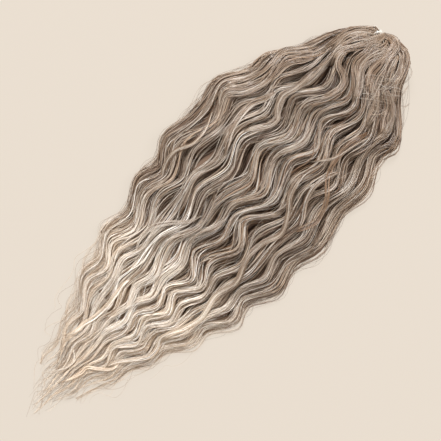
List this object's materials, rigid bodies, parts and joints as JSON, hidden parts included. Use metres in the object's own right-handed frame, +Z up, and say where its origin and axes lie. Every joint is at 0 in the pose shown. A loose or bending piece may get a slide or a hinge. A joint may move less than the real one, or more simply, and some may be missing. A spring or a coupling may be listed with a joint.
{
  "type": "bundle of braiding hair",
  "caption": "Bundle of wavy synthetic braiding hair, folded at its middle, tied with thread at the fold and lying flat, taupe fading to blond at the loose tips.",
  "frame": {"origin": "middle of the underside of the bundle's box, on the surface it lies on", "axes": "+X along the bundle from the loose tips to the fold, +Y across it to the left edge seen from above with the fold at the top, +Z up"},
  "size_m": [0.562, 0.2162, 0.041],
  "materials": {
    "hair": "soft satin synthetic fibre, taupe fading to pale blond at the tips",
    "thread": "matte white cotton thread"
  },
  "bodies": {
    "root": {"lock_01": "hair", "lock_02": "hair", "lock_03": "hair", "lock_04": "hair", "lock_05": "hair", "lock_06": "hair", "lock_07": "hair", "lock_08": "hair", "lock_09": "hair", "lock_10": "hair", "lock_11": "hair", "lock_12": "hair", "lock_13": "hair", "tie_thread": "thread", "tie_knot": "thread"}
  },
  "joints": []
}
